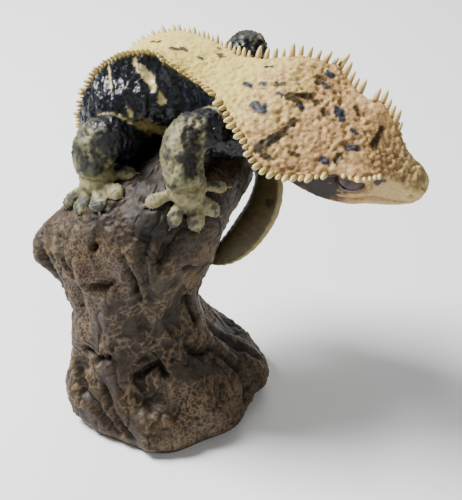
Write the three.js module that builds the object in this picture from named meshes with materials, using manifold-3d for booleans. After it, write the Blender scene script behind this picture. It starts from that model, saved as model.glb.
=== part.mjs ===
// A painted figurine: a crested gecko draped over the top of a gnarled driftwood stump, looking down
// over its right side, with its tail curled round behind. Millimetres, +Z up, the origin on the floor
// under the middle of the stump's foot, the gecko's head towards +X and the viewer on the -Y side.
import * as THREE from "three";
import { mergeVertices } from "three/addons/utils/BufferGeometryUtils.js";
import Module from "manifold-3d";

const wasm = await Module();
wasm.setup();
const { Manifold, Mesh: SolidMesh } = wasm;

const V = (x, y, z) => new THREE.Vector3(x, y, z);
const mix = (a, b, t) => a + (b - a) * t;
const bell = (x, width) => Math.exp(-((x / width) ** 2));
const wrapAngle = (a) => Math.atan2(Math.sin(a), Math.cos(a));

// Driving sizes
const jointGap = 0.3; // kept between touching pieces
const stumpHeight = 62; // floor to the rounded top of the wood
const crestSpineHeight = 1.7; // a spine on the back
const browSpineHeight = 2.1; // a lash over the eye
const eyeRadius = 3.1;
const mouthDepth = 0.5; // of the line cut along the jaw
const clawLength = 1.1;

// Materials, one per paint
const paint = (hex, roughness) => new THREE.MeshStandardMaterial({ color: hex, roughness, metalness: 0 });
const creamPaint = paint("#d9c793", 0.6);
const flankPaint = paint("#3c414d", 0.4);
const limbPaint = paint("#8d8d7c", 0.5);
const tailPaint = paint("#7a7460", 0.5);
const eyePaint = paint("#7b5a4a", 0.15);
const woodPaint = paint("#5a4538", 0.75);

// Solids and meshes

// A mesh's triangles as a manifold-3d solid
function solidOf(geometry) {
  geometry.deleteAttribute("normal");
  geometry.deleteAttribute("uv");
  const merged = mergeVertices(geometry, 1e-4);
  return new Manifold(
    new SolidMesh({
      numProp: 3,
      vertProperties: merged.attributes.position.array,
      triVerts: new Uint32Array(merged.index.array),
    }),
  );
}

// The largest closed piece of a solid, without the scraps and slivers that a cut leaves
const sliver = 0.03;
function largest(solid) {
  const whole = solid.asOriginal().simplify(sliver);
  return whole.decompose().reduce((a, b) => (b.volume() > a.volume() ? b : a));
}

const group = new THREE.Group();
group.name = "gecko_figurine";

function addNode(name, solid, material) {
  const { vertProperties, triVerts, numProp } = largest(solid).getMesh();
  const points = new Float32Array((vertProperties.length / numProp) * 3);
  for (let i = 0; i < points.length / 3; i++) {
    const from = i * numProp;
    points.set(vertProperties.subarray(from, from + 3), i * 3);
  }
  const geometry = new THREE.BufferGeometry();
  geometry.setAttribute("position", new THREE.BufferAttribute(points, 3));
  geometry.setIndex(Array.from(triVerts));
  geometry.computeVertexNormals();
  const mesh = new THREE.Mesh(geometry, material);
  mesh.name = name;
  group.add(mesh);
}

// A closed skin over rings of points, all of one count, with a fan over each end
function skin(rings) {
  const count = rings[0].length;
  const points = rings.flat();
  const ends = [rings[0], rings.at(-1)].map((ring) =>
    ring.reduce((sum, p) => sum.clone().add(p), V(0, 0, 0)).divideScalar(count),
  );
  const first = points.length;
  const index = [];
  for (let r = 0; r + 1 < rings.length; r++)
    for (let i = 0; i < count; i++) {
      const [a, b] = [r * count + i, r * count + ((i + 1) % count)];
      index.push(a, b, b + count, a, b + count, a + count);
    }
  const top = (rings.length - 1) * count;
  for (let i = 0; i < count; i++) {
    index.push(first, (i + 1) % count, i);
    index.push(first + 1, top + i, top + ((i + 1) % count));
  }
  const all = [...points, ...ends];
  const geometry = new THREE.BufferGeometry();
  const values = new Float32Array(all.flatMap((p) => [p.x, p.y, p.z]));
  geometry.setAttribute("position", new THREE.BufferAttribute(values, 3));
  geometry.setIndex(index);
  const solid = solidOf(geometry);
  if (solid.volume() > 0) return solid;
  const turned = geometry.clone();
  turned.setIndex(index.map((_, i) => index[i - (i % 3) + 2 - (i % 3)]));
  return solidOf(turned);
}

// Catmull-Rom value at t between b and c
function smooth(a, b, c, d, t) {
  const bend = 2 * a - 5 * b + 4 * c - d;
  const twist = 3 * b - a - 3 * c + d;
  return 0.5 * (2 * b + (c - a) * t + bend * t * t + twist * t * t * t);
}

// The stump: rings about a leaning axis, with lobes, root flares and furrows

const stumpSections = [
  // height, middle x, middle y, radius
  [0, 0.2, 1, 19.4],
  [3, 0.2, 1, 20.6],
  [8, -0.6, 1, 19.6],
  [14, -2.8, 1.2, 16.8],
  [20, -5.2, 1.4, 14.8],
  [27, -6.6, 1.8, 13.8],
  [34, -5.8, 2.6, 14.8],
  [41, -3.8, 3.6, 16.2],
  [47, -2.6, 4.4, 17],
  [52.5, -1, 5, 16.4],
  [57, 0.6, 5.4, 14],
  [60.2, 1.6, 5.8, 9.4],
  [62, 2.2, 6, 3],
];
const stumpLobes = [
  // direction in degrees, height, reach, spread in radians, spread in height
  [184, 43, 7, 0.4, 7.5],
  [22, 5, 3.2, 0.4, 5.5],
  [205, 6, 2, 0.6, 9],
  [318, 30, -1.4, 0.4, 9],
  [262, 22, -1.4, 0.3, 8],
  [0, 54, 3.6, 0.5, 7],
  [285, 46, 1, 0.4, 7],
  [70, 40, 1.5, 0.6, 12],
  [212, 16, -2, 0.16, 2.4],
  [200, 20, 1, 0.3, 3],
  [264, 13, -1.8, 0.16, 3],
  [285, 30, -1.8, 0.13, 5],
  [240, 36, -1.5, 0.14, 7],
  [222, 40, 1.2, 0.16, 4],
  [310, 20, 1, 0.16, 7],
  [110, 25, -2, 0.3, 6],
  [60, 14, 1.6, 0.25, 8],
  [150, 52, -1.4, 0.3, 5],
];
const stumpSlope = 0.2; // how far the top tips down to the left
const furrowDepth = 0.55;

function stumpSection(height) {
  let i = stumpSections.findIndex((s) => s[0] >= height);
  if (i < 1) i = 1;
  const last = stumpSections.length - 1;
  const rows = [i - 2, i - 1, i, i + 1].map((k) => stumpSections[Math.min(Math.max(k, 0), last)]);
  const t = (height - rows[1][0]) / (rows[2][0] - rows[1][0]);
  return [1, 2, 3].map((k) => smooth(...rows.map((r) => r[k]), t));
}

function stumpPoint(angle, height, grow) {
  const [x, y, radius] = stumpSection(height);
  let reach = radius;
  for (const [degrees, at, out, wide, tall] of stumpLobes)
    reach += out * bell(wrapAngle(angle - THREE.MathUtils.degToRad(degrees)), wide) * bell(height - at, tall);
  const fade = Math.min(1, radius / 12);
  reach += furrowDepth * fade * Math.sin(7 * angle + 0.11 * height + 1.2 * Math.sin(height * 0.16));
  reach += 0.7 * furrowDepth * fade * Math.sin(4 * angle - 0.2 * height + 2);
  reach += grow;
  const sideways = reach * Math.cos(angle);
  const lift = height > stumpHeight * 0.6 ? grow : 0;
  return V(
    x + sideways,
    y + reach * Math.sin(angle),
    height + lift + stumpSlope * sideways * (height / stumpHeight) ** 3,
  );
}

function stumpSolid(grow) {
  const sides = 42;
  const heights = [
    0, 1.5, 3, 5.5, 8, 11, 14, 17, 20, 23.5, 27, 30.5, 34,
    37.5, 41, 44, 47, 49.5, 52, 54.8, 57.4, 59.4, 60.6, 61.4, 62,
  ];
  return skin(
    heights.map((height) =>
      Array.from({ length: sides }, (_, i) => {
        const point = stumpPoint((i / sides) * 2 * Math.PI, height, grow);
        if (height === 0) point.z -= grow;
        return point;
      }),
    ),
  );
}

const stump = stumpSolid(0);
const stumpReach = stumpSolid(jointGap + 0.05);

// The wood's surface met by a line from a point in a direction
const stumpMesh = new THREE.Mesh(
  (() => {
    const { vertProperties, triVerts } = stump.getMesh();
    const geometry = new THREE.BufferGeometry();
    geometry.setAttribute("position", new THREE.BufferAttribute(new Float32Array(vertProperties), 3));
    geometry.setIndex(Array.from(triVerts));
    return geometry;
  })(),
  new THREE.MeshBasicMaterial({ side: THREE.DoubleSide }),
);
function dropOnWood(point, direction) {
  const hit = new THREE.Raycaster(point, direction.clone().normalize(), 0, 30).intersectObject(stumpMesh)[0];
  return hit ? hit.point : null;
}

// The gecko's trunk line, from snout to tail tip. at is the middle of the section, up its back,
// crest the half width between the rows of spines and crestZ their height, top the height of the
// back's midline, side the widest half width and sideZ its height, under the depth of the belly.

const snoutTip = V(53.9, -4, 58.8);
const headForward = V(0.883, -0.279, -0.377).normalize();
const headUp = V(0.225, -0.452, 0.862);
const headLeft = headUp.clone().cross(headForward).normalize();
const headAt = (back, out = 0, rise = 0) =>
  snoutTip
    .clone()
    .addScaledVector(headForward, -back)
    .addScaledVector(headLeft, out)
    .addScaledVector(headUp, rise)
    .toArray();

const rowKeys = ["crest", "crestZ", "top", "side", "sideZ", "under"];
const bodyTable = [
  // at, up, crest, crestZ, top, side, sideZ, under
  [headAt(0.2), headUp, 1.3, 0.5, 0.9, 1.9, -0.7, -1.6],
  [headAt(1.2), headUp, 2.6, 1.1, 1.7, 3.3, -1.3, -3.1],
  [headAt(3.2), headUp, 3.2, 2, 2.6, 4.6, -2, -4.4],
  [headAt(7), headUp, 3.8, 3.2, 3.7, 6.2, -3, -6],
  [headAt(11), headUp, 6.4, 4.6, 4.8, 7.8, -3.8, -7.2],
  [headAt(15, -0.4), headUp, 9.2, 5.2, 5.8, 9, -4.3, -7.9],
  [headAt(19, -0.7), headUp, 10.2, 4.5, 6.4, 9.6, -4.8, -8.2],
  [headAt(24, -0.9), headUp, 13.3, 3.7, 6.4, 9.6, -4.8, -8.4],
  [headAt(29, -0.8), headUp, 15.4, 3.7, 6, 9, -4.4, -8.3],
  [headAt(33.5, -0.3), headUp, 13.4, 3.7, 5.6, 8.6, -3.2, -8],
  [[19.6, 8.5, 71.1], [0.08, -0.32, 0.94], 9.2, 4.8, 6, 9, -1.2, -7.4],
  [[13.9, 12, 71], [0, -0.14, 1], 6.6, 5.9, 7, 9.8, -1, -8.4],
  [[8.3, 15.1, 70.9], [0, -0.04, 1], 7.2, 7.6, 8.4, 10.4, -1.2, -9.4],
  [[2.3, 16.6, 70.8], [-0.04, 0.12, 1], 8.4, 8.9, 9.4, 10.8, -1.4, -10.2],
  [[-3, 15.8, 70], [-0.14, 0.44, 0.9], 7.5, 8.4, 9, 10, -1.4, -9.6],
  [[-7, 14.8, 67.6], [-0.32, 0.7, 0.62], 5.6, 7, 7.6, 8.8, -1, -8.4],
  [[-9.8, 15, 64], [-0.5, 0.74, 0.44], 4.8, 5.9, 6.5, 7.6, -0.6, -6.9],
  [[-11.6, 16.8, 60.2], [-0.62, 0.66, 0.4], 3.8, 4.7, 5.3, 5.9, -0.2, -5.4],
  [[-12, 20.4, 57], [-0.7, 0.56, 0.4], 2.8, 3.4, 4, 4.5, 0, -4.1],
  [[-10.4, 24.6, 54.4], [-0.55, 0.68, 0.45], 2.4, 3, 3.5, 3.9, 0, -3.5],
  [[-5.4, 27.8, 52.6], [-0.2, 0.83, 0.5], 2.2, 2.8, 3.3, 3.7, 0, -3.3],
  [[1.4, 29, 51.6], [0, 0.85, 0.5], 2.1, 2.7, 3.2, 3.6, 0, -3.2],
  [[9, 28.4, 51.4], [0.25, 0.8, 0.5], 2, 2.6, 3.1, 3.5, 0, -3.1],
  [[17, 24.8, 51.2], [0.6, 0.65, 0.45], 2, 2.5, 3, 3.4, 0, -3],
  [[22.6, 18.4, 49.6], [0.92, 0.3, 0.2], 1.9, 2.4, 3, 3.3, 0, -2.9],
  [[24, 11.6, 45.6], [0.88, 0, -0.45], 1.9, 2.3, 2.9, 3.2, 0, -2.8],
  [[20.8, 7.6, 40.2], [0.76, 0, -0.65], 1.7, 2.1, 2.6, 3, 0, -2.6],
  [[15.8, 6.4, 36], [0.62, 0, -0.78], 1.5, 1.8, 2.3, 2.6, 0, -2.3],
  [[10.8, 8, 33.2], [0.5, -0.1, -0.85], 1.2, 1.5, 1.8, 2.1, 0, -1.8],
  [[7.2, 12, 32], [0.5, -0.1, -0.85], 0.8, 1, 1.2, 1.4, 0, -1.2],
];
const bodyRows = bodyTable.map(([at, up, ...sizes]) => ({
  at,
  up: V(...up),
  ...Object.fromEntries(rowKeys.map((key, i) => [key, sizes[i]])),
}));

// The section at a place along the body, counted in rows
function bodySection(place) {
  const last = bodyRows.length - 1;
  const i = Math.min(Math.floor(place), last - 1);
  const t = place - i;
  const rows = [i - 1, i, i + 1, i + 2].map((k) => bodyRows[Math.min(Math.max(k, 0), last)]);
  const at = V(...[0, 1, 2].map((k) => smooth(...rows.map((r) => r.at[k]), t)));
  const ahead = V(...[0, 1, 2].map((k) => smooth(...rows.map((r) => r.at[k]), t + 0.01)));
  const forward = at.clone().sub(ahead).normalize();
  const up = rows[1].up.clone().lerp(rows[2].up, t);
  up.addScaledVector(forward, -up.dot(forward)).normalize();
  const left = up.clone().cross(forward);
  const size = Object.fromEntries(rowKeys.map((key) => [key, smooth(...rows.map((r) => r[key]), t)]));
  return { at, forward, up, left, size };
}

// The half outline of a section, from the middle of the back to the middle of the belly
function halfOutline({ crest, crestZ, top, side, sideZ, under }) {
  return [
    [0, top],
    [0.55 * crest, mix(top, crestZ, 0.4)],
    [crest, crestZ],
    [mix(crest, side, 0.6) - 0.06 * crest, mix(crestZ, sideZ, 0.45)],
    [side, sideZ],
    [0.82 * side, mix(sideZ, under, 0.55)],
    [0.42 * side, mix(sideZ, under, 0.93)],
    [0, under],
  ];
}
const crestKnot = 2; // which outline point is the crest

// A point of the skin: across runs 0 at the back's midline to 7 at the belly's, negative on the right
function bodyPoint(section, across, grow = 0) {
  const outline = halfOutline(section.size);
  const reach = Math.abs(across);
  const i = Math.min(Math.floor(reach), outline.length - 2);
  const t = reach - i;
  const knots = [i - 1, i, i + 1, i + 2].map((k) => {
    if (k < 0) return [-outline[1][0], outline[1][1]];
    if (k >= outline.length) return [-outline[outline.length - 2][0], outline[outline.length - 2][1]];
    return outline[k];
  });
  const out = smooth(...knots.map((k) => k[0]), t) * (across < 0 ? -1 : 1);
  const rise = smooth(...knots.map((k) => k[1]), t);
  const spread = 1 + grow / Math.max(Math.hypot(out, rise), 0.5);
  return section.at
    .clone()
    .addScaledVector(section.left, out * spread)
    .addScaledVector(section.up, rise * spread);
}

const outlineSteps = [0, 0.5, 1, 1.5, 2, 2.35, 2.7, 3.2, 3.7, 4.3, 5, 5.6, 6.3, 7];
const roundSection = (place, grow) => {
  const section = bodySection(place);
  const left = outlineSteps.map((step) => bodyPoint(section, step, grow));
  const right = outlineSteps.slice(1, -1).map((step) => bodyPoint(section, -step, grow));
  return [...left, ...right.reverse()];
};

// A length of the body between two places, its flat ends half a gap short of them
function bodyLength(from, to, perRow, grow = 0) {
  const shorten = (place, way) => {
    const here = bodySection(place);
    const step = here.at.distanceTo(bodySection(place + way * 0.2).at) / 0.2;
    return place + (way * (jointGap / 2 - grow)) / step;
  };
  const last = bodyRows.length - 1;
  const start = from > 0 ? shorten(from, 1) : from;
  const end = to < last ? shorten(to, -1) : to;
  const count = Math.max(2, Math.round((to - from) * perRow));
  return skin(Array.from({ length: count + 1 }, (_, i) => roundSection(mix(start, end, i / count), grow)));
}

// A spine: a small curved cone set into the skin
function spine(root, direction, height, radius, sides = 4) {
  const tip = direction.clone().normalize();
  const across = V(0, 0, 1).cross(tip);
  if (across.length() < 0.1) across.set(1, 0, 0);
  across.normalize();
  const along = tip.clone().cross(across);
  const ring = (rise, size) =>
    Array.from({ length: sides }, (_, i) => {
      const a = (i / sides) * 2 * Math.PI;
      return root
        .clone()
        .addScaledVector(tip, rise)
        .addScaledVector(across, size * Math.cos(a))
        .addScaledVector(along, size * Math.sin(a));
    });
  return skin([ring(-0.8, radius * 1.2), ring(height, radius * 0.12)]);
}

// Rows of spines along both crests: place from and to, pitch and height
const spineRows = [
  { from: 3.9, to: 5.75, pitch: 1.15, height: browSpineHeight, radius: 0.5, lean: 0.15 },
  { from: 6.2, to: 10.6, pitch: 1.5, height: 1.9, radius: 0.62, lean: 0.35 },
  { from: 10.75, to: 17.2, pitch: 1.35, height: crestSpineHeight, radius: 0.5, lean: 0.4 },
];

function crestSpines(from, to, grow = 0) {
  const spines = [];
  for (const row of spineRows)
    for (const side of [1, -1]) {
      let place = row.from;
      let count = 0;
      while (place < row.to) {
        const section = bodySection(place);
        const root = bodyPoint(section, side * crestKnot);
        if (place > from + 0.06 && place < to - 0.16) {
          const out = section.left.clone().multiplyScalar(side * 0.8).addScaledVector(section.up, 0.6);
          out.addScaledVector(section.forward, -row.lean);
          const height = row.height * (0.86 + 0.14 * Math.sin(count * 2.3 + side));
          spines.push(spine(root, out, height + grow, row.radius + grow));
        }
        const next = bodyPoint(bodySection(place + 0.1), side * crestKnot);
        place += (0.1 * row.pitch) / Math.max(root.distanceTo(next), 0.05);
        count++;
      }
    }
  return spines;
}

// Limbs: a bent tube of oval rings

function limb(path, radii, flatten = 1) {
  const sides = 10;
  const curve = new THREE.CatmullRomCurve3(path.map((p) => V(...p)), false, "centripetal");
  const steps = (path.length - 1) * 3;
  const rings = [];
  let side = null;
  for (let k = 0; k <= steps; k++) {
    const t = k / steps;
    const centre = curve.getPoint(t);
    const along = curve.getTangent(t);
    side ??= V(0, 0, 1).cross(along);
    side.addScaledVector(along, -side.dot(along)).normalize();
    const across = along.clone().cross(side);
    const span = t * (radii.length - 1);
    const i = Math.min(Math.floor(span), radii.length - 2);
    const knots = [i - 1, i, i + 1, i + 2].map((n) => radii[Math.min(Math.max(n, 0), radii.length - 1)]);
    const radius = smooth(...knots, span - i);
    rings.push(
      Array.from({ length: sides }, (_, n) => {
        const a = (n / sides) * 2 * Math.PI;
        return centre
          .clone()
          .addScaledVector(side, radius * Math.cos(a))
          .addScaledVector(across, radius * flatten * Math.sin(a));
      }),
    );
  }
  return skin(rings);
}

// A toe: a flat strap that widens into a pad and ends in a claw, lying on the wood
function toe(palm, outward, heading, length, width) {
  const across = outward.clone().cross(heading).normalize();
  const stations = [
    // share of the length, half width, half thickness
    [0, 0.62, 1.2],
    [0.35, 0.62, 1],
    [0.68, 1, 0.8],
    [0.9, 0.82, 0.6],
    [1, 0.34, 0.42],
  ];
  let drop = 0;
  const centres = stations.map(([share, , thick]) => {
    const flat = palm.clone().addScaledVector(heading, share * length);
    const hit = dropOnWood(flat.clone().addScaledVector(outward, 7), outward.clone().negate());
    const rise = hit ? hit.clone().sub(flat).dot(outward) + thick * 0.75 : drop - 0.6 * share;
    drop = share === 0 ? Math.max(rise, -0.4) : Math.max(rise, drop - 1.1);
    return flat.addScaledVector(outward, drop);
  });
  const tip = centres.at(-1).clone().sub(centres.at(-2)).normalize();
  centres.push(centres.at(-1).clone().addScaledVector(tip, clawLength));
  const rings = centres.map((centre, k) => {
    const [, wide, thick] = stations[k] ?? [0, 0.1, 0.14];
    return Array.from({ length: 7 }, (_, n) => {
      const a = (n / 7) * 2 * Math.PI;
      return centre
        .clone()
        .addScaledVector(across, wide * width * Math.cos(a))
        .addScaledVector(outward, thick * Math.sin(a));
    });
  });
  return skin(rings);
}

// A foot: the palm and its five toes, fanned about the heading
function foot({ palm, outward, heading, toes, palmRadius }) {
  const out = V(...outward).normalize();
  const ahead = V(...heading);
  ahead.addScaledVector(out, -ahead.dot(out)).normalize();
  const centre = V(...palm);
  const made = toes.map(([degrees, length, width]) => {
    const way = ahead.clone().applyAxisAngle(out, THREE.MathUtils.degToRad(degrees));
    return toe(centre, out, way, length, width);
  });
  const back = centre.clone().addScaledVector(ahead, -palmRadius);
  const front = centre.clone().addScaledVector(ahead, palmRadius * 0.9);
  const path = [back, centre, front].map((p) => p.toArray());
  const radii = [0.6, 1, 0.55].map((share) => share * palmRadius);
  made.push(limb(path, radii, 0.62));
  return made;
}

const legs = {
  leg_front_right: {
    path: [[15, 6, 67], [11, 2, 70], [6.2, -0.6, 71], [5, -3.4, 68], [5.4, -5.6, 64], [6, -6.6, 62]],
    radii: [5.4, 4.8, 4.5, 4.5, 4.2, 3.4],
    foot: {
      palm: [6.2, -7, 61.4], outward: [-0.05, -0.72, 0.7], heading: [0, -0.5, -0.86], palmRadius: 3.7,
      toes: [[-70, 9, 1.4], [-22, 8, 2], [16, 8.2, 2.3], [54, 7, 2], [98, 6.8, 1.7]],
    },
  },
  leg_front_left: {
    path: [
      [14, 14, 67], [17, 19, 72.6], [18.4, 23.6, 73.6],
      [17.4, 25.4, 68], [14.4, 24.6, 60.4], [12.4, 22.8, 56],
    ],
    radii: [5, 4.2, 3.7, 3.4, 3, 2.8],
    foot: {
      palm: [11.2, 21.4, 54], outward: [0.35, 0.85, 0.3], heading: [-0.1, 0.2, -1], palmRadius: 3.2,
      toes: [[-75, 6.8, 1.5], [-36, 8, 1.9], [0, 8.6, 2], [36, 8, 1.9], [80, 6.8, 1.6]],
    },
  },
  leg_back_right: {
    path: [[-6, 9, 63], [-9.8, 5, 65.4], [-12.4, 3.6, 64.2], [-13.2, 3.2, 61.4], [-13, 3, 59.2]],
    radii: [5, 4.8, 4.5, 4, 3.3],
    foot: {
      palm: [-13.4, 2.4, 57.8], outward: [-0.3, -0.5, 0.8], heading: [-0.45, -0.65, -0.5], palmRadius: 3.7,
      toes: [[-40, 9.4, 1.5], [-8, 7.8, 2.2], [40, 7.4, 2.4], [72, 7.6, 2.2], [112, 6, 1.6]],
    },
  },
  leg_back_left: {
    path: [[-7, 18, 63], [-6.4, 23.6, 65.4], [-4.2, 26.4, 63.6], [-3.6, 25.6, 60], [-3, 23, 57.8]],
    radii: [4.6, 4.2, 3.5, 3, 2.6],
    foot: {
      palm: [-2.8, 21.8, 56.6], outward: [-0.05, 0.88, 0.46], heading: [0.1, 0.3, -0.85], palmRadius: 3,
      toes: [[-80, 6.6, 1.5], [-38, 6.6, 1.8], [0, 6.4, 1.9], [38, 6.6, 1.8], [84, 6.4, 1.5]],
    },
  },
};

// Features of the face, both sides alike

const eyePlace = { back: 14.6, out: 6.6, rise: 1.6 };
const eyeCentre = (side) => V(...headAt(eyePlace.back, side * eyePlace.out, eyePlace.rise));

function ball(centre, radius, around = 14, rows = 9) {
  const sphere = new THREE.SphereGeometry(radius, around, rows);
  sphere.translate(centre.x, centre.y, centre.z);
  return solidOf(sphere);
}

// The rim of skin around an eye, long along the head
function eyeRim(side) {
  const rim = new THREE.TorusGeometry(2.9, 0.62, 5, 14);
  rim.scale(1.14, 0.86, 1);
  const outward = headLeft.clone().multiplyScalar(side).addScaledVector(headUp, 0.12).normalize();
  const along = headForward.clone().addScaledVector(outward, -headForward.dot(outward)).normalize();
  const centre = eyeCentre(side).addScaledVector(outward, 1.75);
  const turn = new THREE.Matrix4().makeBasis(along, outward.clone().cross(along), outward);
  rim.applyMatrix4(turn.setPosition(centre));
  return solidOf(rim);
}

// The line of the mouth: a thin lozenge carried round the snout from one cheek to the other
function mouthLine() {
  const places = [5.6, 4.8, 4, 3.2, 2.4, 1.7, 1, 0.5, 0.15];
  const stations = [...places.map((place) => [place, -1]), ...places.toReversed().map((place) => [place, 1])];
  return skin(
    stations.map(([place, side]) => {
      const section = bodySection(place);
      const point = bodyPoint(section, side * (3.72 + 0.1 * Math.sin(place * 1.4)));
      const outward = section.left.clone().multiplyScalar(side);
      outward.addScaledVector(section.forward, bell(place, 0.7)).normalize();
      return [
        point.clone().addScaledVector(outward, -mouthDepth),
        point.clone().addScaledVector(section.up, 0.17),
        point.clone().addScaledVector(outward, mouthDepth),
        point.clone().addScaledVector(section.up, -0.17),
      ];
    }),
  );
}

const nostril = (side) => ball(bodyPoint(bodySection(1.75), side * 2.9), 0.5, 8, 6);
const earHole = (side) => ball(bodyPoint(bodySection(7.1), side * 3.6), 0.85, 8, 6);
const bothSides = (make) => [make(1), make(-1)];

// Assembly of the nodes

const cuts = { snout: 0, neck: 9.4, torso: 11, hips: 15.1, tail: 18 };
const tailCuts = [18, 20.4, 22.6, 24.6, 27, bodyRows.length - 1];

const union = (pieces) => Manifold.union(pieces);
const faceCuts = union([
  ...bothSides((side) => ball(eyeCentre(side), eyeRadius + jointGap)),
  ...bothSides(nostril),
  ...bothSides(earHole),
  mouthLine(),
]);

const wholeHead = union([
  bodyLength(cuts.snout, cuts.neck, 1.8),
  ...crestSpines(cuts.snout, cuts.neck),
  ...bothSides(eyeRim),
]);
const flesh = {
  head: wholeHead.subtract(faceCuts),
  neck: union([bodyLength(cuts.neck, cuts.torso, 2.5), ...crestSpines(cuts.neck, cuts.torso)]),
  torso: union([bodyLength(cuts.torso, cuts.hips, 2), ...crestSpines(cuts.torso, cuts.hips)]),
  hips: union([bodyLength(cuts.hips, cuts.tail, 2.4), ...crestSpines(cuts.hips, cuts.tail)]).subtract(
    bodyLength(cuts.torso, cuts.hips, 2, jointGap),
  ),
};
const reachGap = jointGap + 0.2;
const bodyReach = union([
  bodyLength(0, cuts.torso, 1, reachGap),
  bodyLength(cuts.torso, cuts.hips, 2, reachGap),
  bodyLength(cuts.hips, bodyRows.length - 1, 1.5, reachGap),
  ...crestSpines(cuts.neck, cuts.tail, reachGap),
]);

addNode("stump", stump, woodPaint);
for (const [name, solid] of Object.entries(flesh))
  addNode(name, solid.subtract(stumpReach), name === "hips" || name === "torso" ? flankPaint : creamPaint);
addNode("eye_left", ball(eyeCentre(1), eyeRadius), eyePaint);
addNode("eye_right", ball(eyeCentre(-1), eyeRadius), eyePaint);
for (let i = 0; i + 1 < tailCuts.length; i++)
  addNode(`tail_${i + 1}`, bodyLength(tailCuts[i], tailCuts[i + 1], 2.2).subtract(stumpReach), tailPaint);
for (const [name, leg] of Object.entries(legs)) {
  const solid = union([limb(leg.path, leg.radii), ...foot(leg.foot)]);
  addNode(name, solid.subtract(stumpReach).subtract(bodyReach), limbPaint);
}

export default group;
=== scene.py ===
# Crested gecko figurine on a driftwood stump: one hard casting, painted by hand, about 85 mm tall.
# Tables are in millimetres and become metres where a mesh is made. The head points to +X and the
# viewer stands on the -Y side, as in the frame.

import math
from functools import partial

import bmesh
import bpy
import numpy as np
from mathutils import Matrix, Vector, noise
from mathutils.bvhtree import BVHTree
from mathutils.kdtree import KDTree


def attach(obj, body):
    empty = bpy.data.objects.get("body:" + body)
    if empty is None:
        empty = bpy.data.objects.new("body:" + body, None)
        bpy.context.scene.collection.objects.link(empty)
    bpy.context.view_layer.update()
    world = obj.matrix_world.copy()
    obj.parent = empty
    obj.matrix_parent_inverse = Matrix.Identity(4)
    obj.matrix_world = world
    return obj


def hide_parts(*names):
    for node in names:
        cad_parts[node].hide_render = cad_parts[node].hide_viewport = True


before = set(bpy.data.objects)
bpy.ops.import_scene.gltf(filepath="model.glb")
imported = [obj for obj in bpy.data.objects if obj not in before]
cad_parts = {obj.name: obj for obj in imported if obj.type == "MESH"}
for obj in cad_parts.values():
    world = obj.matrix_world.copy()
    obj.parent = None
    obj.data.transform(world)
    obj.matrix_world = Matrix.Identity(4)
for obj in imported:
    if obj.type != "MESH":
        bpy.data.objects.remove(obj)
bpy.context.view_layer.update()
print("frame loaded")

mm = 0.001


def toLinear(hexColour):
    parts = [int(hexColour[i : i + 2], 16) / 255 for i in (1, 3, 5)]
    return [c / 12.92 if c <= 0.04045 else ((c + 0.055) / 1.055) ** 2.4 for c in parts] + [1.0]


# a kind of node given without the word Node is a shader node, and links without names go in order
def addNode(tree, kind, links=(), **settings):
    node = tree.nodes.new(kind if "Node" in kind else "ShaderNode" + kind)
    for name, value in settings.items():
        setattr(node, name, value)
    for socket, value in links.items() if isinstance(links, dict) else enumerate(links):
        if isinstance(value, bpy.types.NodeSocket):
            tree.links.new(value, node.inputs[socket])
        else:
            node.inputs[socket].default_value = value
    return node.outputs


def span(v):
    return np.linalg.norm(v, axis=-1)


def unit(v):
    return v / np.maximum(span(v), 1e-9)[..., None]


def ramp(low, high, x):
    t = np.clip((x - low) / (high - low), 0, 1)
    return t * t * (3 - 2 * t)


def fullTurn(steps):
    return np.arange(steps) / steps * 2 * math.pi


def bell(x, width):
    return np.exp(-((x / width) ** 2))


def catmull(a, b, c, d, t):
    bend = 2 * a - 5 * b + 4 * c - d
    twist = 3 * b - a - 3 * c + d
    return 0.5 * (2 * b + (c - a) * t + bend * t * t + twist * t**3)


def spline(table, places):
    table = np.asarray(table, float)
    last = len(table) - 1
    i = np.clip(np.floor(places).astype(int), 0, last - 1)
    rows = [table[np.clip(i + k, 0, last)] for k in (-1, 0, 1, 2)]
    return catmull(*rows, (places - i)[:, None])


def quads(grid):
    turned = np.roll(grid, -1, axis=1)
    return np.stack([grid[:-1], turned[:-1], turned[1:], grid[1:]], axis=-1).reshape(-1, 4).tolist()


def loft(rings):
    rows, around = rings.shape[:2]
    grid = np.arange(rows * around).reshape(rows, around)
    faces = quads(grid)
    first = rows * around  # the middle of the first cap, then that of the last
    top = first - around
    for i in range(around):
        after = (i + 1) % around
        faces += [(first, after, i), (first + 1, top + i, top + after)]
    caps = [rings[0].mean(0), rings[-1].mean(0)]
    return np.concatenate([rings.reshape(-1, 3), caps]), faces


def makeMesh(name, points, faces):
    mesh = bpy.data.meshes.new(name)
    mesh.from_pydata((np.asarray(points) * mm).tolist(), [], faces)
    mesh.validate()
    mesh.update()
    return mesh


def addObject(name, data):
    made = bpy.data.objects.new(name, data)
    bpy.context.scene.collection.objects.link(made)
    return made


def makePiece(name, mesh, material):
    mesh.materials.clear()
    mesh.materials.append(material)
    mesh.shade_smooth()
    return addObject(name, mesh)


def takeMesh(carrier):
    evaluated = carrier.evaluated_get(bpy.context.evaluated_depsgraph_get())
    mesh = bpy.data.meshes.new_from_object(evaluated)
    bpy.data.objects.remove(carrier)
    return mesh


def readAll(values, key, width, kind=float):
    flat = np.empty(len(values) * width, kind)
    values.foreach_get(key, flat)
    return flat.reshape(-1, width)


def readPoints(mesh):
    return readAll(mesh.vertices, "co", 3) / mm


def writePoints(mesh, points):
    mesh.vertices.foreach_set("co", (points * mm).ravel())
    mesh.update()


def storeValues(mesh, values):
    for name, value in values.items():
        mesh.attributes.new(name, "FLOAT", "POINT").data.foreach_set("value", value.astype(np.float32))


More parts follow.
